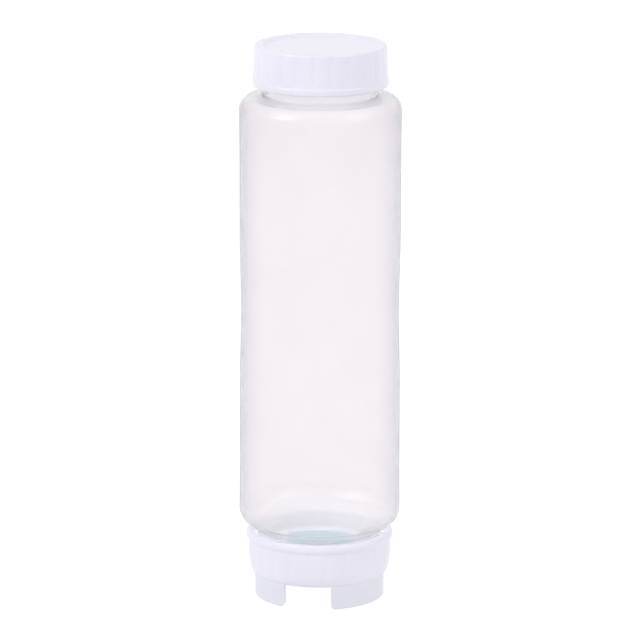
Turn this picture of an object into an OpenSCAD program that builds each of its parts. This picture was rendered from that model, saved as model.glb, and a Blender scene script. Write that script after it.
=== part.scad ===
// Two-ended squeeze bottle for sauces. It stands on its dispensing end and is refilled from the top.
// The origin is the centre of the circle that it stands on, with +Z up.
// The front is -Y, where the thumb tab shows in the front notch of the foot.

/* [Bottle] */
// Outside diameter of the blown body
body_d = 70.12; // [66:0.01:76]
// Height of the blown body from the dispensing neck to the refill neck
body_h = 194.68; // [120:0.01:260]
// Wall of the blown body
wall = 1.2; // [0.8:0.1:2.4]
// How far the waist draws in
waist_depth = 0.6; // [0:0.1:3]
// Height of the stretch over which the waist draws in
waist_h = 70; // [30:1:80]
// How far the body swells at its two ends
end_flare = 0.2; // [0:0.1:1]
// Height of the stretch over which each end swells
flare_h = 25; // [5:1:40]
// Radius of the top shoulder
shoulder_r = 6.5; // [3:0.1:8]
// Slope of the top shoulder from level
shoulder_slope = 10.7; // [4:0.1:30]
// Radius of the bottom corner
corner_r = 8.4; // [4:0.1:10]
// Slope of the bottom cone from level
base_slope = 34; // [15:0.5:45]

/* [Necks] */
// Outside diameter of the refill neck, without its thread
refill_neck_d = 49.6; // [40:0.1:52]
// Height of the refill neck
refill_neck_h = 17.26; // [15:0.01:24]
// Outside diameter of the dispensing neck, without its thread
outlet_neck_d = 54; // [50:0.1:56]
// Height of the dispensing neck
outlet_neck_h = 10.86; // [10:0.01:13]
// Wall of both necks
neck_wall = 1.7; // [1.2:0.1:2.5]

/* [Threads] */
// Rise of both threads in one turn
thread_lead = 4.24; // [4:0.01:5]
// Length of each ridge in turns
thread_turns = 1.25; // [1:0.05:1.3]
// Height of each ridge over its wall
thread_h = 1.3; // [0.9:0.1:1.5]
// Width of each ridge at its root
thread_root_w = 2.3; // [1.6:0.1:2.4]
// Width of each ridge at its tip
thread_tip_w = 1.1; // [0.6:0.1:1.3]
// Gap between a ridge's tip and the wall that it faces
thread_gap = 0.4; // [0.3:0.05:0.6]
// Plain stretch between each neck's rim and its ridge
thread_inset = 2; // [1.5:0.1:2.5]

/* [Seals] */
// Thickness of both sealing rings
seal_t = 1; // [0.8:0.1:1.5]
// Width of the sealing rings
seal_w = 4.6; // [3:0.1:6]
// Gap at each face of a sealing ring
seal_gap = 0.1; // [0.05:0.01:0.2]

/* [Refill cap] */
// Height of the cap
cap_h = 17.6; // [16:0.1:18]
// Diameter of the cap's side at its top
cap_top_d = 57.3; // [57:0.1:60]
// Diameter of the cap's side just above its flange
cap_side_d = 58.4; // [57.5:0.1:62]
// Diameter of the flange at the cap's open end
cap_flange_d = 59.1; // [58.4:0.1:64]
// Height of that flange
cap_flange_h = 2.7; // [1.5:0.1:4]
// Radius of the cap's top edge
cap_edge_r = 1.6; // [0.5:0.1:2]
// Thickness of the cap's top plate
cap_plate_t = 1.9; // [1.2:0.1:3]
// Height of the raised rim round the top
cap_rim_h = 1; // [0.3:0.1:1.5]
// Diameter of the sunk disc inside that rim
cap_disc_d = 47.8; // [40:0.1:50]
// Diameter of the moulding dimple in the middle
gate_d = 8; // [4:0.1:12]
// Depth of the moulding dimple
gate_depth = 0.3; // [0.1:0.1:0.8]

/* [Ribs] */
// Number of grip ribs round the cap and round the collar
rib_count = 24; // [12:1:36]
// Depth of the grooves between the ribs
groove_depth = 0.35; // [0.1:0.05:0.6]
// Radius of the grooves between the ribs
groove_r = 1; // [0.6:0.1:1.5]
// Turn of the cap's ribs about the axis
cap_rib_turn = -2.6; // [-7.5:0.1:7.5]
// Turn of the collar's ribs about the axis
collar_rib_turn = -5.6; // [-7.5:0.1:7.5]

/* [Collar] */
// Outside diameter of the foot ring
foot_d = 56.78; // [54:0.01:58]
// Height of the foot ring up to the curved skirt
foot_h = 10.53; // [8:0.01:11]
// Wall of the foot ring
foot_wall = 2.4; // [1.6:0.1:3]
// Radius of the foot ring's outer edge at the table
foot_edge_r = 1; // [0.4:0.1:1.2]
// Diameter at the top of the curved skirt
skirt_d = 62.1; // [61.5:0.1:66]
// Height of the curved part of the skirt
skirt_curve_h = 8.2; // [5:0.1:9]
// Diameter of the skirt just below the bead
collar_d = 62.5; // [62.1:0.1:68]
// Height of the whole collar
collar_h = 30; // [29:0.1:30.5]
// Diameter over the bead at the collar's top
bead_d = 64.34; // [63.5:0.01:70]
// Height of the bead
bead_h = 4.2; // [2:0.1:5]
// Height of the deck's underside above the table
deck_under = 16; // [15:0.1:17]
// Thickness of the deck
deck_t = 2; // [1.5:0.1:2.5]

/* [Foot notches] */
// Width of the front notch, where a thumb reaches the tab
notch_w = 20.7; // [14:0.1:24]
// Radius of the front notch's lower corners
notch_corner_r = 2.3; // [1:0.1:3]
// Width of the back notch, which the flip cap swings through
hinge_notch_w = 26; // [24:0.1:30]

/* [Valve] */
// Diameter of the hole in the deck
outlet_d = 22; // [18:0.1:24]
// Diameter of the silicone membrane
valve_d = 34; // [32:0.1:36]
// Thickness of the membrane's flange
valve_flange_t = 1.3; // [1:0.1:2]
// Width of the membrane's flange
valve_flange_w = 4.5; // [4:0.1:5]
// Thickness of the membrane's bowl
valve_bowl_t = 0.9; // [0.6:0.1:1]
// Depth of the membrane's bowl
valve_bowl_dip = 1.3; // [0.5:0.1:1.4]
// Length of each cut in the crossed slit
slit_l = 15; // [6:0.5:20]
// Width of each cut
slit_w = 0.3; // [0.2:0.05:0.5]
// Height of the round seat on the deck
seat_h = 3.9; // [3:0.1:5]
// Width of the round seat
seat_w = 3.8; // [3:0.1:4]
// Wall of the retaining ring
retainer_wall = 1.9; // [1.6:0.1:2.4]
// Thickness of the retaining ring's lip
retainer_lip_t = 1; // [0.8:0.1:1.5]
// How far that lip reaches over the membrane
retainer_lip_w = 2; // [1:0.1:3]
// How far the ring's bead snaps under the seat's edge
snap_depth = 0.4; // [0.2:0.05:0.5]
// Height of the seat's groove, which the ring's bead sits in
snap_h = 0.8; // [0.6:0.1:1.2]
// Gap between the ring and its seat
snap_gap = 0.15; // [0.1:0.01:0.2]

/* [Flip cap] */
// Diameter of the flip cap's disc
flip_d = 32; // [28:0.1:34]
// Thickness of the disc, arm and tab
flip_t = 1.8; // [1.4:0.1:2.2]
// Gap between the deck and the closed flip cap
flip_gap = 0.3; // [0.2:0.05:0.5]
// Gap between the plug and the hole that it closes
plug_gap = 0.3; // [0.2:0.05:0.5]
// Height of the plug above the disc
plug_h = 1.8; // [1:0.1:2]
// Wall of the plug
plug_wall = 1.2; // [0.8:0.1:2]
// Width of the thumb tab
tab_w = 12; // [8:0.1:16]
// Gap between the tab's end and the inside of the foot ring
tab_gap = 1.2; // [0.8:0.1:3]
// Height of the ridge under the tab's end
tab_ridge_h = 0.8; // [0.4:0.1:1.2]

/* [Hinge] */
// Distance of the hinge axis from the middle
hinge_y = 25.6; // [25:0.1:26.5]
// Drop of the hinge axis below the deck
hinge_drop = 2.8; // [2.6:0.1:3.2]
// Diameter of the hinge pins on the arm
pin_d = 2.4; // [2:0.1:2.6]
// Radial clearance of the pins in their ears
pin_fit = 0.05; // [0.02:0.01:0.1]
// Width of the arm between the ears
arm_w = 11; // [9:0.1:12]
// Diameter of the arm's knuckle
knuckle_d = 4.4; // [4.2:0.1:4.8]
// Thickness of each ear
ear_t = 2.4; // [1.6:0.1:2.6]
// Wall of each ear round its bore
ear_wall = 1.4; // [1.2:0.1:1.6]
// Gap between the knuckle and each ear
ear_gap = 0.4; // [0.3:0.05:0.6]

/* [Hidden] */
$fn = 96;

// Steps along curves
arc_steps = 10;
side_steps = 32;
thread_steps = 48;
thread_fade = 6;

// How far a ridge or a boss is sunk into the wall that it grows from, and how far a cut runs past a face
root_depth = 0.4;
tip_sink = 0.15;
past = 1;

// Heights from the table up
deck_top = deck_under + deck_t;
seat_top = deck_top + seat_h;
outlet_rim_z = deck_top + seal_t + 2 * seal_gap;
outlet_root_z = outlet_rim_z + outlet_neck_h;
refill_root_z = outlet_root_z + body_h;
refill_rim_z = refill_root_z + refill_neck_h;
cap_inside_z = refill_rim_z + seal_t + 2 * seal_gap;
cap_disc_z = cap_inside_z + cap_plate_t;
cap_top_z = cap_disc_z + cap_rim_h;
cap_bottom_z = cap_top_z - cap_h;

// Radii of the necks and of what screws onto them
refill_neck_r = refill_neck_d / 2;
outlet_neck_r = outlet_neck_d / 2;
cap_bore_r = refill_neck_r + thread_h + thread_gap;
collar_bore_r = outlet_neck_r + thread_h + thread_gap;

// The blown body's two rounded corners
end_r = body_d / 2 + end_flare;
corner_c = end_r - corner_r;
corner_turn = 90 - base_slope;
corner_tangent_r = corner_c + corner_r * cos(corner_turn);
corner_tangent_z = outlet_root_z + (corner_tangent_r - outlet_neck_r) * tan(base_slope);
corner_z = corner_tangent_z + corner_r * sin(corner_turn);
shoulder_c = end_r - shoulder_r;
shoulder_turn = 90 - shoulder_slope;
shoulder_tangent_r = shoulder_c + shoulder_r * cos(shoulder_turn);
shoulder_tangent_z = refill_root_z - (shoulder_tangent_r - refill_neck_r) * tan(shoulder_slope);
shoulder_z = shoulder_tangent_z - shoulder_r * sin(shoulder_turn);
waist_z = (corner_z + shoulder_z) / 2;

// Where each ridge starts
ridge_rise = thread_lead * thread_turns;
refill_ridge_z = refill_rim_z - thread_inset - thread_root_w / 2 - ridge_rise;
outlet_ridge_z = outlet_rim_z + thread_inset + thread_root_w / 2;
cap_ridge_z = cap_bottom_z + thread_inset + thread_root_w / 2;
collar_ridge_z = collar_h - thread_inset / 2 - thread_root_w / 2 - ridge_rise;

// The foot, the bead and the valve
foot_r = foot_d / 2;
foot_inner_r = foot_r - foot_wall;
bead_z = collar_h - bead_h / 2;
bead_bulge = (bead_d - collar_d) / 2;
bead_arc_r = (pow(bead_h / 2, 2) + pow(bead_bulge, 2)) / (2 * bead_bulge);
bead_arc_half = asin(bead_h / 2 / bead_arc_r);
valve_r = valve_d / 2;
seat_r = valve_r;
snap_z = deck_top + seat_h / 2;
snap_half = snap_h / 2;

// The flip cap and its hinge
flip_top = deck_under - flip_gap;
flip_bottom = flip_top - flip_t;
plug_r = outlet_d / 2 - plug_gap;
hinge_z = deck_under - hinge_drop;
ear_r = pin_d / 2 + pin_fit + ear_wall;
ear_x = arm_w / 2 + ear_gap;
tab_end = foot_inner_r - tab_gap;

// Points along an arc in the plane of the section
function arc(r, z, radius, from, to) = [
    for (i = [0 : arc_steps])
        let (a = from + (to - from) * i / arc_steps)
            [r + radius * cos(a), z + radius * sin(a)]
];

// Radius of the blown body's side at a height
function waist_draw(z) = abs(z - waist_z) < waist_h / 2
    ? waist_depth * pow(cos(90 * (z - waist_z) / (waist_h / 2)), 2)
    : 0;
function end_swell(z) =
    let (from_end = min(z - corner_z, shoulder_z - z))
        end_flare * pow(max(0, 1 - from_end / flare_h), 2);
function side_r(z) = body_d / 2 + end_swell(z) - waist_draw(z);

// Half section of the body, drawn in by inset, between two neck radii and two end heights
function body_outline(inset, low_r, low_z, high_r, high_z) = concat(
    [[0, low_z], [low_r, low_z]],
    [[low_r, corner_tangent_z + inset * sin(corner_turn)
        - (corner_tangent_r - inset * cos(corner_turn) - low_r) * tan(base_slope)]],
    arc(corner_c, corner_z, corner_r - inset, -corner_turn, 0),
    [for (i = [1 : side_steps - 1])
        let (z = corner_z + (shoulder_z - corner_z) * i / side_steps)
            [side_r(z) - inset, z]],
    arc(shoulder_c, shoulder_z, shoulder_r - inset, 0, shoulder_turn),
    [[high_r, shoulder_tangent_z - inset * sin(shoulder_turn)
        + (shoulder_tangent_r - inset * cos(shoulder_turn) - high_r) * tan(shoulder_slope)]],
    [[high_r, high_z], [0, high_z]]
);

// One ring of a thread ridge: a trapezoid that stands on a wall and fades out at both ends
function ridge_ring(wall_r, side, angle, z, fade) =
    let (
        root_r = wall_r - side * root_depth,
        tip_r = wall_r + side * (fade * thread_h - (1 - fade) * tip_sink),
        half_root = thread_root_w / 2,
        half_tip = fade * thread_tip_w / 2 + (1 - fade) * half_root,
        section = [[root_r, side * half_root], [tip_r, side * half_tip],
                   [tip_r, -side * half_tip], [root_r, -side * half_root]]
    )
        [for (p = section) [p[0] * cos(angle), p[0] * sin(angle), z + p[1]]];

// Right-hand ridge on a wall, with side 1 for outside a neck and -1 for inside a cap
module thread_ridge(wall_r, side, start_z, start_angle) {
    steps = ceil(thread_steps * thread_turns);
    points = [
        for (i = [0 : steps])
            let (
                turns = thread_turns * i / steps,
                fade = min(1, i / thread_fade, (steps - i) / thread_fade)
            )
                each ridge_ring(wall_r, side, start_angle + 360 * turns, start_z + thread_lead * turns, fade)
    ];
    sides = [
        for (i = [0 : steps - 1], j = [0 : 3])
            let (a = 4 * i + j, b = 4 * i + (j + 1) % 4)
                each [[a, a + 4, b], [b, a + 4, b + 4]]
    ];
    last = 4 * steps;
    ends = [[0, 1, 2], [0, 2, 3], [last, last + 2, last + 1], [last, last + 3, last + 2]];
    polyhedron(points = points, faces = concat(sides, ends));
}

// The ridge that runs half a lead away from another ridge, so that the two mesh
module mating_ridge(wall_r, start_z, other_z) {
    meshing_turns = (start_z - other_z) / thread_lead - 1 / 2;
    thread_ridge(wall_r, -1, start_z, 360 * meshing_turns);
}

module ring(outer_r, inner_r, low_z, high_z) {
    translate([0, 0, low_z])
        difference() {
            cylinder(h = high_z - low_z, r = outer_r);
            translate([0, 0, -past])
                cylinder(h = high_z - low_z + 2 * past, r = inner_r);
        }
}

// Grooves between the ribs, on a side that leans from one radius to another
module rib_grooves(low_r, high_r, low_z, high_z, turn) {
    lean = atan2(low_r - high_r, high_z - low_z);
    for (i = [0 : rib_count - 1])
        rotate([0, 0, turn - 90 + 360 * (i + 1 / 2) / rib_count])
            translate([low_r + groove_r - groove_depth, 0, low_z])
                rotate([0, -lean, 0])
                    cylinder(h = high_z - low_z, r = groove_r, $fn = 24);
}

module bottle_body() {
    color([0.96, 0.94, 0.96, 0.6])
        union() {
            difference() {
                rotate_extrude()
                    polygon(body_outline(0, outlet_neck_r, outlet_rim_z, refill_neck_r, refill_rim_z));
                rotate_extrude()
                    polygon(body_outline(wall, outlet_neck_r - neck_wall, outlet_rim_z - past,
                                         refill_neck_r - neck_wall, refill_rim_z + past));
            }
            thread_ridge(outlet_neck_r, 1, outlet_ridge_z, 0);
            thread_ridge(refill_neck_r, 1, refill_ridge_z, 0);
        }
}

module refill_cap() {
    side_low_z = cap_bottom_z + cap_flange_h;
    edge_r = cap_top_d / 2 - cap_edge_r;
    disc_r = cap_disc_d / 2;
    outline = concat(
        [[0, cap_bottom_z], [cap_flange_d / 2, cap_bottom_z], [cap_flange_d / 2, side_low_z],
         [cap_side_d / 2, side_low_z]],
        arc(edge_r, cap_top_z - cap_edge_r, cap_edge_r, 0, 90),
        [[disc_r + cap_rim_h, cap_top_z], [disc_r, cap_disc_z], [0, cap_disc_z]]
    );
    color([0.93, 0.92, 0.97])
        union() {
            difference() {
                rotate_extrude()
                    polygon(outline);
                translate([0, 0, cap_bottom_z - past])
                    cylinder(h = cap_inside_z - cap_bottom_z + past, r = cap_bore_r);
                rib_grooves(cap_side_d / 2, cap_top_d / 2, side_low_z,
                            cap_top_z - cap_edge_r - cap_rim_h, cap_rib_turn);
                translate([0, 0, cap_disc_z - gate_depth])
                    cylinder(h = gate_depth + past, d = gate_d);
            }
            mating_ridge(cap_bore_r, cap_ridge_z, refill_ridge_z);
        }
}

module refill_cap_gasket() {
    outer_r = cap_bore_r - thread_gap;
    color([0.85, 0.86, 0.88])
        ring(outer_r, outer_r - seal_w, refill_rim_z + seal_gap, refill_rim_z + seal_gap + seal_t);
}

// The ring is no wider than the neck that it seals, so that it passes the collar's ridge with the neck
module collar_gasket() {
    color([0.85, 0.86, 0.88])
        ring(outlet_neck_r, outlet_neck_r - seal_w, deck_top + seal_gap, deck_top + seal_gap + seal_t);
}

// Outside of the collar: foot, curved skirt, side and bead
module collar_solid() {
    curve_top = foot_h + skirt_curve_h;
    bead_c = bead_d / 2 - bead_arc_r;
    rotate_extrude()
        polygon(concat(
            [[0, 0]],
            arc(foot_r - foot_edge_r, foot_edge_r, foot_edge_r, -90, 0),
            [for (i = [0 : arc_steps])
                let (a = 90 * i / arc_steps)
                    [foot_r + (skirt_d / 2 - foot_r) * sin(a), curve_top - skirt_curve_h * cos(a)]],
            arc(bead_c, bead_z, bead_arc_r, -bead_arc_half, bead_arc_half),
            [[0, collar_h]]
        ));
}

// Front notch with rounded lower corners, cut through the foot ring
module front_notch() {
    depth = foot_r;
    translate([-notch_w / 2, -depth - past, -past])
        cube([notch_w, depth / 2 + past, foot_h + past]);
    for (side = [-1, 1])
        difference() {
            translate([side * notch_w / 2 - (side > 0 ? 0 : notch_corner_r), -depth - past, -past])
                cube([notch_corner_r, depth / 2 + past, notch_corner_r + past]);
            translate([side * (notch_w / 2 + notch_corner_r), -depth - 2 * past, notch_corner_r])
                rotate([-90, 0, 0])
                    cylinder(h = depth / 2 + 4 * past, r = notch_corner_r, $fn = 32);
        }
}

module hinge_notch() {
    translate([-hinge_notch_w / 2, foot_r / 2, -past])
        cube([hinge_notch_w, foot_r, deck_under + past]);
}

// Ear that carries one hinge pin below the deck
module ear() {
    difference() {
        union() {
            translate([0, hinge_y, hinge_z])
                rotate([0, 90, 0])
                    cylinder(h = ear_t, r = ear_r);
            translate([0, hinge_y - ear_r, hinge_z])
                cube([ear_t, 2 * ear_r, hinge_drop + root_depth]);
        }
        translate([-past, hinge_y, hinge_z])
            rotate([0, 90, 0])
                cylinder(h = ear_t + 2 * past, r = pin_d / 2 + pin_fit);
    }
}

// Round seat for the membrane, with a groove for the ring's bead
module valve_seat() {
    difference() {
        ring(seat_r, seat_r - seat_w, deck_top - root_depth, seat_top);
        ring(seat_r + past, seat_r - snap_depth - snap_gap, snap_z - snap_half, snap_z + snap_half);
    }
}

module dispensing_collar() {
    color([0.92, 0.92, 0.96, 0.8])
        union() {
            difference() {
                collar_solid();
                translate([0, 0, deck_top])
                    cylinder(h = collar_h, r = collar_bore_r);
                translate([0, 0, -past])
                    cylinder(h = deck_under + past, r = foot_inner_r);
                cylinder(h = collar_h, d = outlet_d);
                rib_grooves(collar_d / 2, collar_d / 2, foot_h + past, collar_h - bead_h, collar_rib_turn);
                front_notch();
                hinge_notch();
            }
            mating_ridge(collar_bore_r, collar_ridge_z, outlet_ridge_z);
            valve_seat();
            translate([ear_x, 0, 0])
                ear();
            translate([-ear_x - ear_t, 0, 0])
                ear();
        }
}

module valve_membrane() {
    flange_in = valve_r - valve_flange_w;
    top_z = seat_top + valve_flange_t;
    rim_z = seat_top + valve_bowl_t;
    bowl_r = (pow(flange_in, 2) + pow(valve_bowl_dip, 2)) / (2 * valve_bowl_dip);
    bowl_half = asin(flange_in / bowl_r);
    bowl_z = seat_top - valve_bowl_dip + bowl_r;
    outline = concat(
        arc(0, bowl_z, bowl_r, -90, -90 + bowl_half),
        [[valve_r, seat_top], [valve_r, top_z], [flange_in, top_z]],
        arc(0, bowl_z + rim_z - seat_top, bowl_r, -90 + bowl_half, -90)
    );
    color([0.55, 0.78, 0.78])
        difference() {
            rotate_extrude()
                polygon(outline);
            for (turn = [45, 135])
                rotate([0, 0, turn])
                    translate([-slit_l / 2, -slit_w / 2, deck_under])
                        cube([slit_l, slit_w, top_z]);
        }
}

module valve_retainer() {
    low_z = deck_top + snap_gap;
    lip_z = seat_top + valve_flange_t + snap_gap;
    inner_r = seat_r + snap_gap;
    outer_r = inner_r + retainer_wall;
    lip_r = valve_r - retainer_lip_w;
    bead_half = snap_half - snap_gap;
    color([0.9, 0.92, 0.94])
        rotate_extrude()
            polygon([
                [inner_r, low_z], [outer_r, low_z], [outer_r, lip_z + retainer_lip_t],
                [lip_r, lip_z + retainer_lip_t], [lip_r, lip_z], [inner_r, lip_z],
                [inner_r, snap_z + bead_half], [inner_r - snap_depth, snap_z], [inner_r, snap_z - bead_half]
            ]);
}

module flip_cap() {
    pin_l = ear_gap + ear_t;
    color([0.92, 0.92, 0.96])
        union() {
            translate([0, 0, flip_bottom])
                cylinder(h = flip_t, d = flip_d);
            ring(plug_r, plug_r - plug_wall, flip_top - root_depth, flip_top + plug_h);
            translate([-arm_w / 2, 0, flip_bottom])
                cube([arm_w, hinge_y, flip_t]);
            translate([-arm_w / 2, hinge_y, hinge_z])
                rotate([0, 90, 0])
                    cylinder(h = arm_w, d = knuckle_d);
            translate([-arm_w / 2 - pin_l, hinge_y, hinge_z])
                rotate([0, 90, 0])
                    cylinder(h = arm_w + 2 * pin_l, d = pin_d);
            intersection() {
                translate([-tab_w / 2, -foot_r, flip_bottom - tab_ridge_h])
                    cube([tab_w, foot_r, flip_t + tab_ridge_h]);
                union() {
                    translate([0, 0, flip_bottom])
                        cylinder(h = flip_t, r = tab_end);
                    ring(tab_end, tab_end - flip_t, flip_bottom - tab_ridge_h, flip_top);
                }
            }
        }
}

bottle_body();
refill_cap();
refill_cap_gasket();
dispensing_collar();
collar_gasket();
valve_membrane();
valve_retainer();
flip_cap();
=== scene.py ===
from math import atan2, cos, degrees, hypot, pi, radians, sin, tan

import bpy
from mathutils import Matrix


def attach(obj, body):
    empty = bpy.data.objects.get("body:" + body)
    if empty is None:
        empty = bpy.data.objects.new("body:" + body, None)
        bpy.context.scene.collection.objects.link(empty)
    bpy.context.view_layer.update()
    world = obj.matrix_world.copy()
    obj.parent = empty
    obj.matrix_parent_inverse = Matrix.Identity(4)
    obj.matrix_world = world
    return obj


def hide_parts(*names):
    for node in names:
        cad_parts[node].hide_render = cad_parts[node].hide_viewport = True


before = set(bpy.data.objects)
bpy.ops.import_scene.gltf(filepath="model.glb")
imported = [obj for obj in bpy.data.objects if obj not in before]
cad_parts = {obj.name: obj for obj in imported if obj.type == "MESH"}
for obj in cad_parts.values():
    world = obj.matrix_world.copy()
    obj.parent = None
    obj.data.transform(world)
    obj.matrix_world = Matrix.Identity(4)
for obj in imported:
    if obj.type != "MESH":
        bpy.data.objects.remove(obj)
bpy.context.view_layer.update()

# Camera.
# It stands in front of the bottle, 11.1 degrees round to its right, and looks down a little,
# through a long lens, so that the cap's top shows as a narrow oval.
CAMERA_DISTANCE = 2.2219
CAMERA_HEIGHT = 0.6581
CAMERA_ROUND = 11.1
CAMERA_DOWN = 13.522
CAMERA_ROLL = 0.14
FOCAL_PIXELS = 5233.9
PHOTO_WIDTH = 640
CAMERA_REACH = 20


def add_camera():
    bpy.ops.object.select_all(action="DESELECT")
    turn = radians(CAMERA_ROUND)
    bpy.ops.object.camera_add(
        location=(CAMERA_DISTANCE * sin(turn), -CAMERA_DISTANCE * cos(turn), CAMERA_HEIGHT),
        rotation=(radians(90 - CAMERA_DOWN), 0, turn),
    )
    camera = bpy.context.active_object
    camera.name = "camera"
    camera.rotation_euler.rotate_axis("Z", radians(CAMERA_ROLL))
    camera.data.lens = camera.data.sensor_width * FOCAL_PIXELS / PHOTO_WIDTH
    camera.data.clip_end = CAMERA_REACH
    bpy.context.scene.camera = camera


add_camera()
bpy.context.scene.view_settings.view_transform = "Standard"

# Dispensing collar.
# One moulding in milky plastic that lets light through and so throws no shadow: a bead, a ribbed
# side, a curved skirt and a foot ring with two notches. Inside are a screw thread, a flat deck with
# a raised seat for the valve, and two ears for the flip cap. It is bluer inside, and painted
# lighter there against the shade in its bore.
MM = 0.001
RIB_COUNT = 24
RIB_COLUMNS = 12
RIB_DEPTH = 0.42
COLLAR_RIB_TURN = -5.6
COLLAR_RIB_INSIDE = 28.2
COLLAR_RIB_LOW = 12
COLLAR_RIB_HIGH = 26.4
COLLAR_HEIGHT = 30
COLLAR_BORE = 28.7
FOOT_RADIUS = 28.39
FOOT_INSIDE = 25.99
FOOT_HEIGHT = 10.53
SKIRT_RADIUS = 31.05
SKIRT_TOP = 18.73
SKIRT_STEPS = 12
SIDE_RADIUS = 31.25
SIDE_LOW = 19.5
SIDE_TOP = 25.4
SIDE_RINGS = 4
SIDE_RING_STEP = 1.4
SIDE_RING_DRAFT = 0.03
BEAD_RADIUS = 32.17
BEAD_HALF = 2.1
BEAD_CUT_SHORT = 12
BEAD_STEPS = 10
DECK_UNDER = 16
DECK_TOP = 18
OUTLET_RADIUS = 11
OUTLET_RIM = 19.2
SEAT_RADIUS = 17
SEAT_INSIDE = 13.2
SEAT_TOP = 21.9
SNAP_GROOVE = (19.55, 20.35, 16.45)
NOTCH_HALF = 10.35
NOTCH_CORNER = 2.3
HINGE_NOTCH_HALF = 13
HINGE_NOTCH_REACH = 5
HINGE_Y = 25.6
HINGE_Z = 13.2
EAR_RADIUS = 2.65
EAR_BORE = 1.25
EAR_START = 5.9
EAR_THICKNESS = 2.4
EAR_SINK = 0.5
INSIDE_BELOW_DECK = 0.5
INSIDE_PAST_BORE = 0.6
FOOT_TONE = (0.92, 0.94, 0.92)
FOOT_TONE_FADE = (9, 13)


def arc(r, z, radius, start, end, steps=8):
    """Points on an arc in the plane of the section, between two angles in degrees."""
    angles = [radians(start + (end - start) * i / steps) for i in range(steps + 1)]
    return [(r + radius * cos(a), z + radius * sin(a)) for a in angles]


def rounded(corners, steps=4):
    """Softens the corners of an outline, each given as (radius, height, size of the softening)."""
    points = []
    last = len(corners) - 1
    for i, (r, z, soft) in enumerate(corners):
        if soft == 0 or i in (0, last):
            points.append((r, z))
            continue
        ends = []
        for other in (corners[i - 1], corners[i + 1]):
            away = hypot(other[0] - r, other[1] - z)
            share = min(soft / away, 0.45)
            ends.append((r + (other[0] - r) * share, z + (other[1] - z) * share))
        for k in range(steps + 1):
            s = k / steps
            points.append(tuple((1 - s) ** 2 * a + 2 * s * (1 - s) * c + s**2 * b
                                for a, b, c in zip(ends[0], ends[1], (r, z))))
    return points


def settle(piece, smooth_angle=35):
    """Merges what lies together, turns the faces outwards, smooths them and applies the place."""
    bpy.ops.object.select_all(action="DESELECT")
    piece.select_set(True)
    bpy.context.view_layer.objects.active = piece
    bpy.ops.object.transform_apply(location=True, rotation=True, scale=True)
    bpy.ops.object.mode_set(mode="EDIT")
    bpy.ops.mesh.select_all(action="SELECT")
    bpy.ops.mesh.remove_doubles(threshold=0.000002)
    bpy.ops.mesh.normals_make_consistent(inside=False)
    bpy.ops.object.mode_set(mode="OBJECT")
    bpy.ops.object.shade_smooth_by_angle(angle=radians(smooth_angle))
    return piece


def turned(name, outline, columns, turn=0):
    """Draws a circle out from point to point of an outline in millimetres, as on a lathe.
    An outline that ends where it starts makes a ring.
    Any other starts with a flat disc and ends on the axis."""
    is_ring = outline[0] == outline[-1]
    radius, height = outline[0]
    bpy.ops.object.select_all(action="DESELECT")
    bpy.ops.mesh.primitive_circle_add(
        vertices=columns, radius=radius * MM, fill_type="NOTHING" if is_ring else "TRIFAN",
        location=(0, 0, height * MM), rotation=(0, 0, radians(turn)),
    )
    piece = bpy.context.active_object
    piece.name = name
    bpy.ops.object.transform_apply(location=True, rotation=True, scale=True)
    bpy.ops.object.mode_set(mode="EDIT")
    bpy.ops.mesh.select_all(action="SELECT")
    if not is_ring:
        bpy.ops.mesh.region_to_loop()
    for next_radius, next_height in outline[1:]:
        bpy.ops.mesh.extrude_region_move(
            TRANSFORM_OT_translate={"value": (0, 0, (next_height - height) * MM)})
        if next_radius > 0:
            factor = next_radius / radius
            bpy.ops.transform.resize(value=(factor, factor, 1), center_override=(0, 0, 0))
        else:
            bpy.ops.mesh.merge(type="CENTER")
        radius, height = next_radius, next_height
    bpy.ops.object.mode_set(mode="OBJECT")
    return settle(piece)


def combine(piece, other, operation):
    """Joins a shape to a piece, cuts it away or keeps what both share, and then deletes it."""
    modifier = piece.modifiers.new("combine", "BOOLEAN")
    modifier.operation = operation
    modifier.solver = "EXACT"
    modifier.object = other
    bpy.ops.object.select_all(action="DESELECT")
    piece.select_set(True)
    bpy.context.view_layer.objects.active = piece
    bpy.ops.object.modifier_apply(modifier=modifier.name)
    bpy.data.objects.remove(other)


def soften(piece, width, angle=40, segments=3):
    """Bevels a piece's sharp edges, as a mould does."""
    modifier = piece.modifiers.new("soften", "BEVEL")
    modifier.width = width * MM
    modifier.segments = segments
    modifier.limit_method = "ANGLE"
    modifier.angle_limit = radians(angle)
    modifier.harden_normals = False
    bpy.ops.object.select_all(action="DESELECT")
    piece.select_set(True)
    bpy.context.view_layer.objects.active = piece
    bpy.ops.object.modifier_apply(modifier=modifier.name)


def block(low, high):
    """A box between two corners in millimetres, to join to a piece or cut from it."""
    bpy.ops.object.select_all(action="DESELECT")
    bpy.ops.mesh.primitive_cube_add(
        size=1, location=[(a + b) / 2 * MM for a, b in zip(low, high)],
        scale=[(b - a) * MM for a, b in zip(low, high)],
    )
    bpy.ops.object.transform_apply(location=True, rotation=True, scale=True)
    return bpy.context.active_object


def rod(centre, radius, length, axis, sides=48):
    """A cylinder along X, Y or Z in millimetres, to join to a piece or cut from it."""
    turns = {"X": (0, pi / 2, 0), "Y": (pi / 2, 0, 0), "Z": (0, 0, 0)}
    bpy.ops.object.select_all(action="DESELECT")
    bpy.ops.mesh.primitive_cylinder_add(
        vertices=sides, radius=radius * MM, depth=length * MM,
        location=[c * MM for c in centre], rotation=turns[axis],
    )
    bpy.ops.object.transform_apply(location=True, rotation=True, scale=True)
    return bpy.context.active_object


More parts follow.
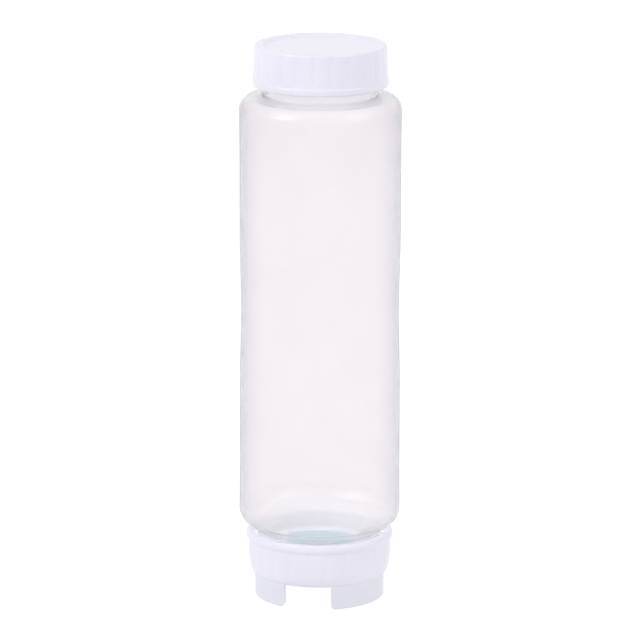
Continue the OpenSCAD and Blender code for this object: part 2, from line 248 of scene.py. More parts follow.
def press_grooves(piece, turn, inside, low, high, low_fade, high_fade):
    """Draws the outside in between the grip ribs, most halfway, and less towards both ends."""
    pitch = 360 / RIB_COUNT
    for vertex in piece.data.vertices:
        radius = hypot(vertex.co.x, vertex.co.y) / MM
        height = vertex.co.z / MM
        if radius < inside or not low < height < high:
            continue
        round_angle = degrees(atan2(vertex.co.x, -vertex.co.y)) - turn
        off_rib = abs((round_angle + pitch / 2) % pitch - pitch / 2) / (pitch / 2)
        fade = min(1, (height - low) / low_fade, (high - height) / high_fade)
        factor = 1 - RIB_DEPTH * off_rib**3 * fade**2 * (3 - 2 * fade) / radius
        vertex.co.x *= factor
        vertex.co.y *= factor


CUT_MARGIN = 2


def notch_cutter():
    """A block whose foot flares out, so that the lower corners of the legs come out round."""
    reach = FOOT_RADIUS + CUT_MARGIN
    back = -FOOT_RADIUS / 2
    cutter = block((-NOTCH_HALF, -reach, -CUT_MARGIN), (NOTCH_HALF, back, FOOT_HEIGHT))
    for side in (-1, 1):
        edge = side * NOTCH_HALF
        far = edge + side * NOTCH_CORNER
        flare = block((min(edge, far), -reach, -CUT_MARGIN), (max(edge, far), back, NOTCH_CORNER))
        corner = rod((far, -FOOT_RADIUS, NOTCH_CORNER), NOTCH_CORNER, 3 * FOOT_RADIUS, "Y")
        combine(flare, corner, "DIFFERENCE")
        combine(cutter, flare, "UNION")
    return cutter


THREAD_LEAD = 4.24
THREAD_TURNS = 1.25
THREAD_HEIGHT = 1.3
THREAD_ROOT = 2.3
THREAD_TIP = 1.1
THREAD_SINK = 0.4
THREAD_STEPS = 60
THREAD_FADE = 6
THREAD_BURY = 0.15
THREAD_INSET = 2
COLLAR_THREAD_INSET = 1


def thread_ridge(wall_radius, side, start_height, start_turns):
    """A right-hand ridge that stands on a wall, outside a neck (side 1) or inside a cap (side -1).
    Its section is drawn round the axis, and both ends are then pressed into the wall."""
    root = wall_radius - side * THREAD_SINK
    tip = wall_radius + side * THREAD_HEIGHT
    section = ((root, -THREAD_ROOT / 2), (tip, -THREAD_TIP / 2),
               (tip, THREAD_TIP / 2), (root, THREAD_ROOT / 2))
    bpy.ops.object.select_all(action="DESELECT")
    bpy.ops.mesh.primitive_plane_add(size=1)
    ridge = bpy.context.active_object
    for vertex, (r, z) in zip((ridge.data.vertices[i] for i in (0, 1, 3, 2)), section):
        vertex.co = (r * MM, 0, (start_height + z) * MM)
    ridge.rotation_euler.z = 2 * pi * start_turns
    bpy.ops.object.transform_apply(location=True, rotation=True, scale=True)
    screw = ridge.modifiers.new("screw", "SCREW")
    screw.angle = 2 * pi * THREAD_TURNS
    screw.screw_offset = THREAD_LEAD * THREAD_TURNS * MM
    screw.steps = screw.render_steps = THREAD_STEPS
    bpy.ops.object.modifier_apply(modifier=screw.name)
    middle = (root + tip) / 2
    for vertex in ridge.data.vertices:
        radius = hypot(vertex.co.x, vertex.co.y) / MM
        if side * (radius - middle) < 0:
            continue
        angle = atan2(vertex.co.y, vertex.co.x) / (2 * pi) - start_turns
        climbed = (vertex.co.z / MM - start_height) / THREAD_LEAD
        along = angle + round(climbed - angle)
        to_end = min(along, THREAD_TURNS - along)
        fade = max(0, min(1, to_end * THREAD_STEPS / THREAD_TURNS / THREAD_FADE))
        factor = (radius - side * (1 - fade) * (THREAD_HEIGHT + THREAD_BURY)) / radius
        vertex.co.x *= factor
        vertex.co.y *= factor
    return settle(ridge)


PLASTIC_IOR = 1.15
COAT_ROUGHNESS = 0.25
CLOUD_SCALE = 55
CLOUD_DETAIL = 4
CLOUD_BAND = (0.3, 0.7)
SKIN_SCALE = 420
SKIN_DETAIL = 6
ROUGHNESS_SPREAD = (-0.05, 0.07)
GRAIN_STRENGTH = 0.25
GRAIN_HEIGHT = 0.00004


def milky_plastic(name, light, deep, roughness, clear=0, grain=1.0, gleam=0.4):
    """Moulded plastic with a cloudy colour and a satin skin with a fine grain.
    The share of light that it lets through is clear, and gleam is how strong its highlights are."""
    material = bpy.data.materials.new(name)
    material.use_nodes = True
    tree = material.node_tree
    shader = tree.nodes["Principled BSDF"]
    shader.inputs["IOR"].default_value = PLASTIC_IOR
    shader.inputs["Transmission Weight"].default_value = clear
    shader.inputs["Coat Weight"].default_value = gleam
    shader.inputs["Coat Roughness"].default_value = COAT_ROUGHNESS
    place = tree.nodes.new("ShaderNodeTexCoord")
    cloud = tree.nodes.new("ShaderNodeTexNoise")
    cloud.inputs["Scale"].default_value = CLOUD_SCALE
    cloud.inputs["Detail"].default_value = CLOUD_DETAIL
    shade = tree.nodes.new("ShaderNodeValToRGB")
    for element, position, tone in zip(shade.color_ramp.elements, CLOUD_BAND, (deep, light)):
        element.position = position
        element.color = (*tone, 1)
    skin = tree.nodes.new("ShaderNodeTexNoise")
    skin.inputs["Scale"].default_value = SKIN_SCALE
    skin.inputs["Detail"].default_value = SKIN_DETAIL
    gloss = tree.nodes.new("ShaderNodeMapRange")
    gloss.inputs["To Min"].default_value = roughness + ROUGHNESS_SPREAD[0]
    gloss.inputs["To Max"].default_value = roughness + ROUGHNESS_SPREAD[1]
    bump = tree.nodes.new("ShaderNodeBump")
    bump.inputs["Strength"].default_value = GRAIN_STRENGTH * grain
    bump.inputs["Distance"].default_value = GRAIN_HEIGHT
    links = tree.links
    links.new(place.outputs["Object"], cloud.inputs["Vector"])
    links.new(place.outputs["Object"], skin.inputs["Vector"])
    links.new(cloud.outputs["Fac"], shade.inputs["Fac"])
    links.new(shade.outputs["Color"], shader.inputs["Base Color"])
    links.new(skin.outputs["Fac"], gloss.inputs["Value"])
    links.new(gloss.outputs["Result"], shader.inputs["Roughness"])
    links.new(skin.outputs["Fac"], bump.inputs["Height"])
    links.new(bump.outputs["Normal"], shader.inputs["Normal"])
    return material


def value_by_height(tree, low, high, low_value, high_value):
    """A value that changes softly between two heights on the piece, in millimetres.
    The value at the top is a number or another node's output."""
    place = tree.nodes.new("ShaderNodeTexCoord")
    height = tree.nodes.new("ShaderNodeSeparateXYZ")
    value = tree.nodes.new("ShaderNodeMapRange")
    value.interpolation_type = "SMOOTHSTEP"
    value.inputs["From Min"].default_value = low * MM
    value.inputs["From Max"].default_value = high * MM
    value.inputs["To Min"].default_value = low_value
    if isinstance(high_value, (int, float)):
        value.inputs["To Max"].default_value = high_value
    else:
        tree.links.new(high_value, value.inputs["To Max"])
    tree.links.new(place.outputs["Object"], height.inputs["Vector"])
    tree.links.new(height.outputs["Z"], value.inputs["Value"])
    return value.outputs["Result"]


def tint(material, tone, share):
    """Multiplies a plastic's colour by a tone, as far as the share says.
    The tone is a colour or another node's output."""
    tree = material.node_tree
    shader = tree.nodes["Principled BSDF"]
    mix = tree.nodes.new("ShaderNodeMix")
    mix.data_type = "RGBA"
    mix.blend_type = "MULTIPLY"
    tree.links.new(shader.inputs["Base Color"].links[0].from_socket, mix.inputs["A"])
    if isinstance(tone, tuple):
        mix.inputs["B"].default_value = (*tone, 1)
    else:
        tree.links.new(tone, mix.inputs["B"])
    tree.links.new(share, mix.inputs["Factor"])
    tree.links.new(mix.outputs["Result"], shader.inputs["Base Color"])


def finish_piece(piece, node, body, material):
    """Gives a piece its material, its place on a body and the node that it stands for."""
    piece.data.materials.clear()
    piece.data.materials.append(material)
    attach(piece, body)
    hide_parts(node)


def make_collar():
    skirt = [(FOOT_RADIUS + (SKIRT_RADIUS - FOOT_RADIUS) * sin(a),
              SKIRT_TOP - (SKIRT_TOP - FOOT_HEIGHT) * cos(a), 0)
             for a in (radians(90 * i / SKIRT_STEPS) for i in range(SKIRT_STEPS + 1))]
    bulge = BEAD_RADIUS - SIDE_RADIUS
    bead_arc = (BEAD_HALF**2 + bulge**2) / (2 * bulge)
    bead_turn = degrees(atan2(BEAD_HALF, bead_arc - bulge))
    bead = [(r, z, 0) for r, z in arc(BEAD_RADIUS - bead_arc, COLLAR_HEIGHT - BEAD_HALF, bead_arc,
                                      -bead_turn, bead_turn - BEAD_CUT_SHORT, BEAD_STEPS)]
    sides = [(SIDE_RADIUS - SIDE_RING_DRAFT * (SIDE_RINGS - i), SIDE_LOW + SIDE_RING_STEP * i, 0)
             for i in range(SIDE_RINGS)]
    low_groove, high_groove, groove_radius = SNAP_GROOVE
    outline = rounded([
        (OUTLET_RADIUS, DECK_UNDER + 1, 0), (OUTLET_RADIUS, DECK_UNDER, 0.3),
        (FOOT_INSIDE, DECK_UNDER, 0.5), (FOOT_INSIDE, FOOT_HEIGHT + 1.5, 0), (FOOT_INSIDE, 0, 0.6),
        (FOOT_RADIUS, 0, 1.1), *skirt, *sides, (SIDE_RADIUS, SIDE_TOP, 0),
        *bead, (SIDE_RADIUS - 0.3, COLLAR_HEIGHT, 0.3), (COLLAR_BORE, COLLAR_HEIGHT, 0.7),
        (COLLAR_BORE, DECK_TOP, 0.4), (SEAT_RADIUS, DECK_TOP, 0.2), (SEAT_RADIUS, low_groove, 0),
        (groove_radius, low_groove, 0), (groove_radius, high_groove, 0),
        (SEAT_RADIUS, high_groove, 0), (SEAT_RADIUS, SEAT_TOP, 0.3),
        (SEAT_INSIDE, SEAT_TOP, 0.3), (SEAT_INSIDE, DECK_TOP, 0.3),
        (OUTLET_RADIUS, DECK_TOP, 0.3), (OUTLET_RADIUS, DECK_UNDER + 1, 0),
    ])
    collar = turned("collar", outline, RIB_COUNT * RIB_COLUMNS, COLLAR_RIB_TURN - 90)
    press_grooves(collar, COLLAR_RIB_TURN, COLLAR_RIB_INSIDE, COLLAR_RIB_LOW, COLLAR_RIB_HIGH,
                  low_fade=5, high_fade=2.2)
    combine(collar, notch_cutter(), "DIFFERENCE")
    combine(collar, block((-HINGE_NOTCH_HALF, FOOT_RADIUS / 2, -CUT_MARGIN),
                          (HINGE_NOTCH_HALF, FOOT_RADIUS + HINGE_NOTCH_REACH, DECK_UNDER)),
            "DIFFERENCE")
    soften(collar, 0.45, angle=50)
    return collar


collar = make_collar()
thread_bottom = (COLLAR_HEIGHT - COLLAR_THREAD_INSET - THREAD_ROOT / 2
                 - THREAD_LEAD * THREAD_TURNS)
NECK_THREAD_HEIGHT = OUTLET_RIM + THREAD_INSET + THREAD_ROOT / 2
thread_turns = (thread_bottom - NECK_THREAD_HEIGHT) / THREAD_LEAD - 0.5
combine(collar, thread_ridge(COLLAR_BORE, -1, thread_bottom, thread_turns), "UNION")
for side in (-1, 1):
    middle = side * (EAR_START + EAR_THICKNESS / 2)
    ear = rod((middle, HINGE_Y, HINGE_Z), EAR_RADIUS, EAR_THICKNESS, "X")
    low = (middle - EAR_THICKNESS / 2, HINGE_Y - EAR_RADIUS, HINGE_Z)
    high = (middle + EAR_THICKNESS / 2, HINGE_Y + EAR_RADIUS, DECK_UNDER + EAR_SINK)
    combine(ear, block(low, high), "UNION")
    combine(ear, rod((middle, HINGE_Y, HINGE_Z), EAR_BORE, 2 * EAR_THICKNESS, "X"), "DIFFERENCE")
    soften(ear, 0.2)
    combine(collar, ear, "UNION")
settle(collar)
COLLAR_PLASTIC = milky_plastic("collar_plastic", (0.915, 0.9, 1), (0.89, 0.875, 0.985),
                               roughness=0.3)
tint(COLLAR_PLASTIC, FOOT_TONE, value_by_height(COLLAR_PLASTIC.node_tree, *FOOT_TONE_FADE, 1, 0))
finish_piece(collar, "dispensing_collar", "base", COLLAR_PLASTIC)
collar.visible_shadow = False
# The inside faces get a second, lighter copy of the plastic: painted light against the bore's
# shade.
collar.data.materials.append(
    milky_plastic("collar_inside_lightened", (0.93, 0.965, 0.985), (0.91, 0.945, 0.97), roughness=0.4))
inside_low = (DECK_TOP - INSIDE_BELOW_DECK) * MM
inside_radius = (COLLAR_BORE + INSIDE_PAST_BORE) * MM
for face in collar.data.polygons:
    if face.center.z > inside_low and hypot(face.center.x, face.center.y) < inside_radius:
        face.material_index = 1

# Valve membrane.
# A soft blue-green silicone disc with a flat flange and a shallow bowl, moulded in one piece. Two
# crossed cuts in the bowl open under pressure. It lies on the seat, under the retaining ring's lip.
VALVE_RADIUS = 17
VALVE_FLANGE = 4.5
VALVE_FLANGE_THICKNESS = 1.3
VALVE_BOWL_THICKNESS = 0.9
VALVE_DIP = 1.3
VALVE_STEPS = 12
RING_COLUMNS = 96
SLIT_HALF = 7.5
SLIT_WIDTH = 0.3


def make_membrane():
    bowl = VALVE_RADIUS - VALVE_FLANGE
    radius = (bowl**2 + VALVE_DIP**2) / (2 * VALVE_DIP)
    half = degrees(atan2(bowl, radius - VALVE_DIP))
    under = arc(0, SEAT_TOP - VALVE_DIP + radius, radius, -90, -90 + half, VALVE_STEPS)[1:]
    over = [(r, z + VALVE_BOWL_THICKNESS) for r, z in under[::-1]]
    top = SEAT_TOP + VALVE_FLANGE_THICKNESS
    outline = rounded(
        [(r, z, 0) for r, z in under]
        + [(VALVE_RADIUS, SEAT_TOP, 0.3), (VALVE_RADIUS, top, 0.3), (bowl, top, 0.3)]
        + [(r, z, 0) for r, z in over] + [(0, SEAT_TOP - VALVE_DIP + VALVE_BOWL_THICKNESS, 0)])
    membrane = turned("membrane", outline, RING_COLUMNS)
    for turn in (45, 135):
        cut = block((-SLIT_HALF, -SLIT_WIDTH / 2, DECK_UNDER),
                    (SLIT_HALF, SLIT_WIDTH / 2, COLLAR_HEIGHT))
        cut.rotation_euler.z = radians(turn)
        bpy.context.view_layer.update()
        combine(membrane, cut, "DIFFERENCE")
    return settle(membrane)


def silicone(name, light, deep):
    """Soft silicone: an even matt colour with a faint powdery grain."""
    return milky_plastic(name, light, deep, roughness=0.45, grain=0.6, gleam=0.1)


MEMBRANE_SILICONE = silicone("membrane_silicone", (0.48, 0.7, 0.76), (0.44, 0.66, 0.72))
finish_piece(make_membrane(), "valve_membrane", "base", MEMBRANE_SILICONE)

# Valve retaining ring.
# A milky snap ring that is pushed down over the seat and holds the membrane by its flange.
# A small bead inside clicks into the seat's groove.
RETAINER_GAP = 0.15
RETAINER_WALL = 1.9
RETAINER_LIP = 2
RETAINER_LIP_THICKNESS = 1
RETAINER_BEAD = 0.4
RETAINER_BEAD_HALF = 0.25


def make_retainer():
    inner = SEAT_RADIUS + RETAINER_GAP
    outer = inner + RETAINER_WALL
    lip = VALVE_RADIUS - RETAINER_LIP
    low = DECK_TOP + RETAINER_GAP
    under = SEAT_TOP + VALVE_FLANGE_THICKNESS + RETAINER_GAP
    top = under + RETAINER_LIP_THICKNESS
    groove = (SNAP_GROOVE[0] + SNAP_GROOVE[1]) / 2
    return turned("retainer", rounded([
        (outer, (low + top) / 2, 0), (outer, top, 0.5), (lip, top, 0.4), (lip, under, 0.2),
        (inner, under, 0), (inner, groove + RETAINER_BEAD_HALF, 0),
        (inner - RETAINER_BEAD, groove, 0.1), (inner, groove - RETAINER_BEAD_HALF, 0),
        (inner, low, 0.2), (outer, low, 0.3), (outer, (low + top) / 2, 0),
    ]), RING_COLUMNS)


RETAINER_PLASTIC = milky_plastic("retainer_plastic", (0.93, 0.95, 0.99), (0.9, 0.93, 0.97),
                                 roughness=0.35)
finish_piece(make_retainer(), "valve_retainer", "base", RETAINER_PLASTIC)

# Sealing rings.
# Two flat rings of pale silicone. One lies between the collar's deck and the bottle's lower rim,
# and the other sits in the refill cap above the upper rim.
SEAL_THICKNESS = 1
SEAL_WIDTH = 4.6
SEAL_GAP = 0.1
OUTLET_NECK = 27
REFILL_RIM = 242
CAP_BORE = 26.5
CAP_SEAL_GAP = 0.4


def make_seal(name, outer, low):
    inner = outer - SEAL_WIDTH
    top = low + SEAL_THICKNESS
    middle = (inner + outer) / 2
    return turned(name, rounded([
        (middle, low, 0), (outer, low, 0.25), (outer, top, 0.25),
        (inner, top, 0.25), (inner, low, 0.25), (middle, low, 0),
    ]), RING_COLUMNS)


SEAL_SILICONE = silicone("seal_silicone", (0.92, 0.94, 0.96), (0.88, 0.9, 0.93))
finish_piece(make_seal("outlet_seal", OUTLET_NECK, DECK_TOP + SEAL_GAP),
             "collar_gasket", "outlet_seal", SEAL_SILICONE)
finish_piece(make_seal("refill_seal", CAP_BORE - CAP_SEAL_GAP, REFILL_RIM + SEAL_GAP),
             "refill_cap_gasket", "refill_seal", SEAL_SILICONE)

# Bottle.
# A blown body of soft clear-milky plastic that throws no shadow, with a threaded, open neck at each
# end. Its thin side draws in a little at the middle, its lower corner turns into a cone, and it is
# milkier towards the lower neck.
BODY_RADIUS = 35.06
WALL = 1.2
NECK_WALL = 1.7
REFILL_NECK = 24.8
CONE_TOP = 30.06
SHOULDER_TOP = 224.74
CORNER = 8.4
CONE_SLOPE = 34
SHOULDER = 6.5
SHOULDER_SLOPE = 10.7
END_SWELL = 0.2
SWELL_REACH = 25
WAIST_DEPTH = 0.6
WAIST_HALF = 35
SIDE_STEPS = 32
CORNER_STEPS = 12
BODY_COLUMNS = 288
CAP_NECK_THREAD_HEIGHT = REFILL_RIM - THREAD_INSET - THREAD_ROOT / 2 - THREAD_LEAD * THREAD_TURNS
# Each fade below is the pair of heights, in millimetres, between which a value changes.
BOTTLE_CLEAR = 0.9
NECK_CLEAR = 0.68
NECK_CLEAR_FADE = (30, 44)
LOW_NECK_TONE = (0.99, 1.02, 1.01)
LOW_NECK_FADE = (30, 42)
# Painted light: the upper neck, shaded by the cap, is made lighter and a little bluer.
HIGH_NECK_LIGHT_TONE = (1.02, 1.06, 1.06)
HIGH_NECK_FADE = (219, 224)
EDGE_SHADE_FADE_LOW = (32, 37)
EDGE_SHADE_FADE_HIGH = (217, 225)
# Each row is how edge-on the wall is seen, from 0 to 1, and the tone that multiplies its colour as
# painted shade.
EDGE_ON_SHADE_TONES = ((0.35, (1, 1, 1)), (0.66, (0.9, 0.905, 0.945)), (0.78, (0.87, 0.88, 0.93)),
                 (0.91, (0.3, 0.3, 0.4)))


def body_side(inset):
    """Outline of the blown body from the lower neck to the upper one, drawn in by the inset."""
    end = BODY_RADIUS + END_SWELL
    corner_turn = 90 - CONE_SLOPE
    shoulder_turn = 90 - SHOULDER_SLOPE
    corner_c = end - CORNER
    shoulder_c = end - SHOULDER
    tangent_r = corner_c + CORNER * cos(radians(corner_turn))
    tangent_z = CONE_TOP + (tangent_r - OUTLET_NECK) * tan(radians(CONE_SLOPE))
    corner_z = tangent_z + CORNER * sin(radians(corner_turn))
    top_r = shoulder_c + SHOULDER * cos(radians(shoulder_turn))
    top_z = SHOULDER_TOP - (top_r - REFILL_NECK) * tan(radians(SHOULDER_SLOPE))
    shoulder_z = top_z - SHOULDER * sin(radians(shoulder_turn))
    neck_inset = NECK_WALL if inset else 0
    low = arc(corner_c, corner_z, CORNER - inset, -corner_turn, 0, CORNER_STEPS)
    high = arc(shoulder_c, shoulder_z, SHOULDER - inset, 0, shoulder_turn, CORNER_STEPS)
    low_neck = OUTLET_NECK - neck_inset
    high_neck = REFILL_NECK - neck_inset
    low_z = low[0][1] - (low[0][0] - low_neck) * tan(radians(CONE_SLOPE))
    high_z = high[-1][1] + (high[-1][0] - high_neck) * tan(radians(SHOULDER_SLOPE))
    side = []
    waist = (corner_z + shoulder_z) / 2
    for i in range(1, SIDE_STEPS):
        z = corner_z + (shoulder_z - corner_z) * i / SIDE_STEPS
        swell = END_SWELL * max(0, 1 - min(z - corner_z, shoulder_z - z) / SWELL_REACH) ** 2
        near = min(1, abs(z - waist) / WAIST_HALF)
        side.append((BODY_RADIUS + swell - WAIST_DEPTH * cos(near * pi / 2) ** 2 - inset, z, 0))
    return [(low_neck, low_z, 0.5), *((r, z, 0) for r, z in low), *side,
            *((r, z, 0) for r, z in high), (high_neck, high_z, 1.6)]


def make_bottle():
    inner_low = OUTLET_NECK - NECK_WALL
    inner_high = REFILL_NECK - NECK_WALL
    start = ((inner_low + OUTLET_NECK) / 2, OUTLET_RIM, 0)
    bottle = turned("bottle", rounded([
        start, (OUTLET_NECK, OUTLET_RIM, 0.5), *body_side(0), (REFILL_NECK, REFILL_RIM, 0.5),
        (inner_high, REFILL_RIM, 0.5), *body_side(WALL)[::-1], (inner_low, OUTLET_RIM, 0.5), start,
    ]), BODY_COLUMNS)
    combine(bottle, thread_ridge(OUTLET_NECK, 1, NECK_THREAD_HEIGHT, 0), "UNION")
    combine(bottle, thread_ridge(REFILL_NECK, 1, CAP_NECK_THREAD_HEIGHT, 0), "UNION")
    return settle(bottle)


def paint_edge_on_shade(material, share):
    """Painted shade where the wall is seen edge-on, partly standing for light crossing more
    plastic.
    """
    tree = material.node_tree
    slant = tree.nodes.new("ShaderNodeLayerWeight")
    depth = tree.nodes.new("ShaderNodeValToRGB")
    stops = depth.color_ramp.elements
    for position, tone in EDGE_ON_SHADE_TONES:
        stops.new(position).color = (*tone, 1)
    stops.remove(stops[-1])
    stops.remove(stops[0])
    tree.links.new(slant.outputs["Facing"], depth.inputs["Fac"])
    tint(material, depth.outputs["Color"], share)


BOTTLE_PLASTIC = milky_plastic("bottle_plastic", (0.95, 0.92, 0.94), (0.935, 0.905, 0.925),
                               roughness=0.2, clear=BOTTLE_CLEAR, grain=0.05)
bottle_tree = BOTTLE_PLASTIC.node_tree
bottle_tree.links.new(value_by_height(bottle_tree, *NECK_CLEAR_FADE, NECK_CLEAR, BOTTLE_CLEAR),
                      bottle_tree.nodes["Principled BSDF"].inputs["Transmission Weight"])
tint(BOTTLE_PLASTIC, LOW_NECK_TONE, value_by_height(bottle_tree, *LOW_NECK_FADE, 1, 0))
# The upper neck is painted lighter against the cap's shade.
tint(BOTTLE_PLASTIC, HIGH_NECK_LIGHT_TONE, value_by_height(bottle_tree, *HIGH_NECK_FADE, 0, 1))
below_high_neck = value_by_height(bottle_tree, *EDGE_SHADE_FADE_HIGH, 1, 0)
# Painted shade: the side's colour turns darker where it is seen edge-on, between the two necks.
paint_edge_on_shade(BOTTLE_PLASTIC, value_by_height(bottle_tree, *EDGE_SHADE_FADE_LOW, 0, below_high_neck))
bottle = make_bottle()
bottle.visible_shadow = False
finish_piece(bottle, "bottle_body", "bottle", BOTTLE_PLASTIC)

# Refill cap.
# A white moulded screw cap with 24 broad grip ribs, a flange at its open end and a raised rim
# round a sunk disc. A small dimple in the middle is left by the mould's gate.
CAP_BOTTOM = 228.5
CAP_TOP = 246.1
CAP_DISC = 245.1
CAP_DISC_RADIUS = 23.9
CAP_INSIDE = 243.2
CAP_FLANGE = 29.55
CAP_FLANGE_TOP = 231.2
CAP_SIDE_LOW = 29.2
CAP_SIDE_HIGH = 28.65
CAP_SIDE_STEPS = 12
CAP_EDGE = 0.8
CAP_IOR = 1.5
CAP_COAT_ROUGHNESS = 0.2
CAP_RIB_TURN = -2.6
CAP_RIB_INSIDE = 27.5
CAP_RIB_TOP = 245.9
GATE_RADIUS = 4
GATE_DEPTH = 0.35


def make_cap():
    side_low = CAP_FLANGE_TOP + 0.4
    side_high = CAP_TOP - CAP_EDGE
    side = [(CAP_SIDE_LOW + (CAP_SIDE_HIGH - CAP_SIDE_LOW) * i / CAP_SIDE_STEPS,
             side_low + (side_high - side_low) * i / CAP_SIDE_STEPS, 0)
            for i in range(CAP_SIDE_STEPS)]
    edge = [(r, z, 0) for r, z in arc(CAP_SIDE_HIGH - CAP_EDGE, side_high, CAP_EDGE, 0, 90)]
    outline = rounded([
        (CAP_BORE, CAP_INSIDE, 0), (CAP_BORE, CAP_BOTTOM, 0.5), (CAP_FLANGE, CAP_BOTTOM, 0.6),
        (CAP_FLANGE, CAP_FLANGE_TOP, 1), *side, *edge, (CAP_DISC_RADIUS + 1, CAP_TOP, 0.8),
        (CAP_DISC_RADIUS, CAP_DISC, 0.8), (GATE_RADIUS, CAP_DISC, 0.6),
        (GATE_RADIUS - 0.8, CAP_DISC - 0.3, 0.6), (0, CAP_DISC - GATE_DEPTH, 0),
    ])
    cap = turned("cap", outline, RIB_COUNT * RIB_COLUMNS, CAP_RIB_TURN - 90)
    press_grooves(cap, CAP_RIB_TURN, CAP_RIB_INSIDE, CAP_FLANGE_TOP, CAP_RIB_TOP,
                  low_fade=1.2, high_fade=1.6)
    start = CAP_BOTTOM + THREAD_INSET + THREAD_ROOT / 2
    start_turns = (start - CAP_NECK_THREAD_HEIGHT) / THREAD_LEAD - 0.5
    combine(cap, thread_ridge(CAP_BORE, -1, start, start_turns), "UNION")
    return settle(cap)


CAP_PLASTIC = milky_plastic("cap_plastic", (0.885, 0.857, 0.985), (0.85, 0.822, 0.955),
                            roughness=0.3, gleam=0.6)
cap_shader = CAP_PLASTIC.node_tree.nodes["Principled BSDF"]
cap_shader.inputs["IOR"].default_value = CAP_IOR
cap_shader.inputs["Coat Roughness"].default_value = CAP_COAT_ROUGHNESS
finish_piece(make_cap(), "refill_cap", "refill_cap", CAP_PLASTIC)

# Flip cap.
# A milky lid under the deck: a disc with a plug that closes the outlet, an arm with a knuckle
# and two pins at the back, and a tab for the thumb in front.
FLIP_TOP = 15.7
FLIP_THICKNESS = 1.8
FLIP_RADIUS = 16
PLUG_OUTER = 10.7
PLUG_INNER = 9.5
PLUG_HEIGHT = 1.8
ARM_HALF = 5.5
KNUCKLE_RADIUS = 2.2
PIN_RADIUS = 1.2
PIN_LENGTH = 2.8
TAB_HALF = 6
TAB_END = 24.79
TAB_RIDGE = 0.8
LID_COLUMNS = 128
PLUG_SINK = 0.4


def make_flip_cap():
    low = FLIP_TOP - FLIP_THICKNESS
    ridge_low = low - TAB_RIDGE
    lid = rod((0, 0, (low + FLIP_TOP) / 2), FLIP_RADIUS, FLIP_THICKNESS, "Z", LID_COLUMNS)
    lid.name = "flip_cap_lid"
    combine(lid, block((-ARM_HALF, 0, low), (ARM_HALF, HINGE_Y, FLIP_TOP)), "UNION")
    tab = rod((0, 0, (ridge_low + FLIP_TOP) / 2), TAB_END, FLIP_THICKNESS + TAB_RIDGE, "Z",
              LID_COLUMNS)
    hollow = rod((0, 0, ridge_low), TAB_END - FLIP_THICKNESS, 2 * TAB_RIDGE, "Z", LID_COLUMNS)
    combine(tab, hollow, "DIFFERENCE")
    combine(tab, block((-TAB_HALF, -FOOT_RADIUS, low - CUT_MARGIN),
                       (TAB_HALF, 0, FLIP_TOP + CUT_MARGIN)), "INTERSECT")
    combine(lid, tab, "UNION")
    combine(lid, rod((0, HINGE_Y, HINGE_Z), KNUCKLE_RADIUS, 2 * ARM_HALF, "X"), "UNION")
    soften(lid, 0.3, angle=35)
    pin_length = 2 * (ARM_HALF + PIN_LENGTH)
    combine(lid, rod((0, HINGE_Y, HINGE_Z), PIN_RADIUS, pin_length, "X"), "UNION")
    middle = (PLUG_INNER + PLUG_OUTER) / 2
    plug_low = FLIP_TOP - PLUG_SINK
    plug_top = FLIP_TOP + PLUG_HEIGHT
    plug = turned("plug", rounded([
        (middle, plug_low, 0), (PLUG_OUTER, plug_low, 0), (PLUG_OUTER, plug_top, 0.5),
        (PLUG_INNER, plug_top, 0.5), (PLUG_INNER, plug_low, 0), (middle, plug_low, 0),
    ]), RING_COLUMNS)
    combine(lid, plug, "UNION")
    return settle(lid)


FLIP_PLASTIC = milky_plastic("flip_cap_plastic", (0.9, 0.89, 0.99), (0.87, 0.86, 0.965),
                             roughness=0.32)
finish_piece(make_flip_cap(), "flip_cap", "flip_cap", FLIP_PLASTIC)

# Table and light.
# A plain white table that runs far back, two soft lamps in front of the bottle, one to each side,
# and an even white sky. Light bounces many times, since it crosses many clear walls one behind
# another before it reaches the table or the sky.
TABLE_SIZE = 8
TABLE_TONE = 0.9
TABLE_ROUGHNESS = 0.9
SEEN_TABLE_TONE = 0.25
TABLE_GLOW = 0.88
LAMP_ROUND = 58
LAMP_HEIGHT = 0.85
LAMP_DISTANCE = 1.0
LAMP_WIDTH = 0.7
LAMP_LENGTH = 0.9
LAMP_LEFT_POWER = 5
LAMP_RIGHT_POWER = 3.5
LAMP_AIM_HEIGHT = 0.15
SKY_LIGHT = 0.62
CLEAR_BOUNCES = 32
GLOSSY_BOUNCES = 16
DIFFUSE_BOUNCES = 8


def seen_rays(tree):
    """One for rays that come from the camera, a reflection or clear plastic, and zero for the rest,
    which only light what they reach."""
    path = tree.nodes.new("ShaderNodeLightPath")
    kinds = [path.outputs[n] for n in ("Is Camera Ray", "Is Glossy Ray", "Is Transmission Ray")]
    total = kinds[0]
    for kind in kinds[1:]:
        larger = tree.nodes.new("ShaderNodeMath")
        larger.operation = "MAXIMUM"
        tree.links.new(total, larger.inputs[0])
        tree.links.new(kind, larger.inputs[1])
        total = larger.outputs["Value"]
    return total


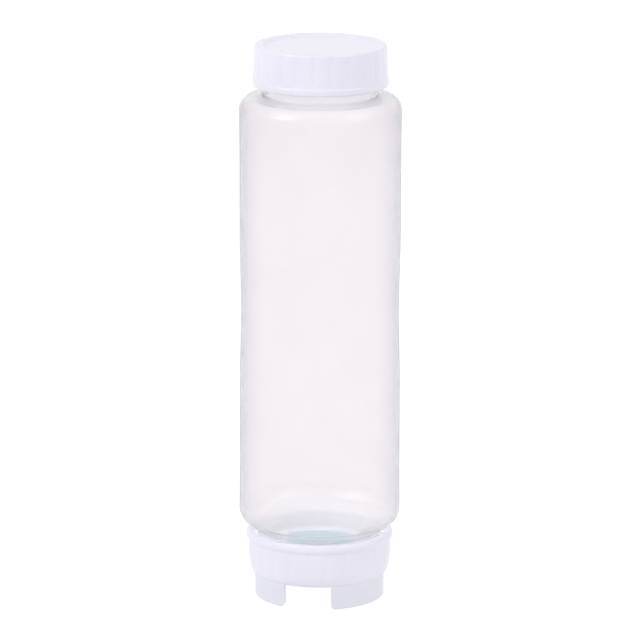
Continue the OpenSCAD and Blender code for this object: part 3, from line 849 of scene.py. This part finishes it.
def add_table():
    bpy.ops.object.select_all(action="DESELECT")
    bpy.ops.mesh.primitive_plane_add(size=TABLE_SIZE)
    table = bpy.context.active_object
    table.name = "table"
    material = bpy.data.materials.new("table_white")
    material.use_nodes = True
    tree = material.node_tree
    shader = tree.nodes["Principled BSDF"]
    backdrop = tree.nodes.new("ShaderNodeBsdfPrincipled")
    for node, tone in ((shader, TABLE_TONE), (backdrop, SEEN_TABLE_TONE)):
        node.inputs["Base Color"].default_value = (tone, tone, tone, 1)
        node.inputs["Roughness"].default_value = TABLE_ROUGHNESS
        node.inputs["Specular IOR Level"].default_value = 0
    backdrop.inputs["Emission Color"].default_value = (1, 1, 1, 1)
    backdrop.inputs["Emission Strength"].default_value = TABLE_GLOW
    mix = tree.nodes.new("ShaderNodeMixShader")
    tree.links.new(seen_rays(tree), mix.inputs[0])
    tree.links.new(shader.outputs["BSDF"], mix.inputs[1])
    tree.links.new(backdrop.outputs["BSDF"], mix.inputs[2])
    tree.links.new(mix.outputs["Shader"], tree.nodes["Material Output"].inputs["Surface"])
    table.data.materials.append(material)


def add_sky():
    world = bpy.data.worlds.new("sky")
    bpy.context.scene.world = world
    world.use_nodes = True
    tree = world.node_tree
    background = tree.nodes["Background"]
    background.inputs["Color"].default_value = (1, 1, 1, 1)
    strength = tree.nodes.new("ShaderNodeMapRange")
    strength.inputs["To Min"].default_value = SKY_LIGHT
    strength.inputs["To Max"].default_value = 1
    tree.links.new(seen_rays(tree), strength.inputs["Value"])
    tree.links.new(strength.outputs["Result"], background.inputs["Strength"])


def add_lamp(name, side, power):
    turn = radians(CAMERA_ROUND + side * LAMP_ROUND)
    bpy.ops.object.select_all(action="DESELECT")
    bpy.ops.object.light_add(
        type="AREA", location=(LAMP_DISTANCE * sin(turn), -LAMP_DISTANCE * cos(turn), LAMP_HEIGHT),
        rotation=(atan2(LAMP_DISTANCE, LAMP_HEIGHT - LAMP_AIM_HEIGHT), 0, turn),
    )
    lamp = bpy.context.active_object
    lamp.name = name
    lamp.data.shape = "RECTANGLE"
    lamp.data.size = LAMP_WIDTH
    lamp.data.size_y = LAMP_LENGTH
    lamp.data.energy = power


add_table()
add_sky()
add_lamp("lamp_left", -1, LAMP_LEFT_POWER)
add_lamp("lamp_right", 1, LAMP_RIGHT_POWER)
cycles = bpy.context.scene.cycles
cycles.max_bounces = cycles.transmission_bounces = CLEAR_BOUNCES
cycles.glossy_bounces = GLOSSY_BOUNCES
cycles.diffuse_bounces = DIFFUSE_BOUNCES
